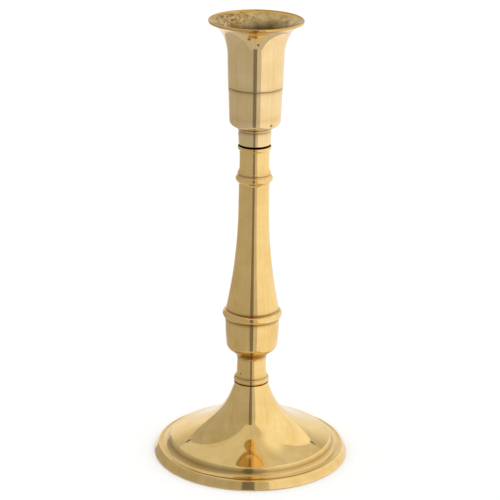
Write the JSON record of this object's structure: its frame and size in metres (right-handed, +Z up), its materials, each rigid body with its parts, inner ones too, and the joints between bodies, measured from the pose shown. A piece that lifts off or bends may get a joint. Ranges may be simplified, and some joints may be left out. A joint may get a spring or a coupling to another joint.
{
  "type": "candlestick",
  "caption": "Turned brass candlestick: a round hollow foot, a baluster stem and a flared candle cup that unscrews from the stem.",
  "frame": {"origin": "centre of the foot, on the surface that the candlestick stands on", "axes": "+Z up along the turned axis, from the foot to the rim; the object is round, so +X and +Y are free"},
  "size_m": [0.092, 0.092, 0.21],
  "materials": {
    "polished_brass": "cast, turned and polished",
    "turned_brass": "turned and polished",
    "cup_brass": "turned and polished outside, dull inside",
    "zinc_steel": "bright zinc plate",
    "spring_steel": "blackened spring steel"
  },
  "bodies": {
    "stand": {"foot": "polished_brass", "stem": "turned_brass", "foot_bolt": "zinc_steel", "spring_washer": "spring_steel", "flat_washer": "zinc_steel"},
    "stud": {"cup_stud": "zinc_steel"},
    "cup": {"candle_cup": "cup_brass"}
  },
  "joints": [
    {"name": "cup_lift", "type": "slide", "parent": "stand", "child": "stud", "axis": [0, 0, 1], "range_m": [0, 0.01]},
    {"name": "cup_turn", "type": "hinge", "parent": "stud", "child": "cup", "pos_m": [0, 0, 0.1524], "axis": [0, 0, 1], "range_deg": [0, 2880]}
  ],
  "couplings": [
    {"joint": "cup_turn", "follows": "cup_lift", "rad_per_m": 5026.5}
  ]
}
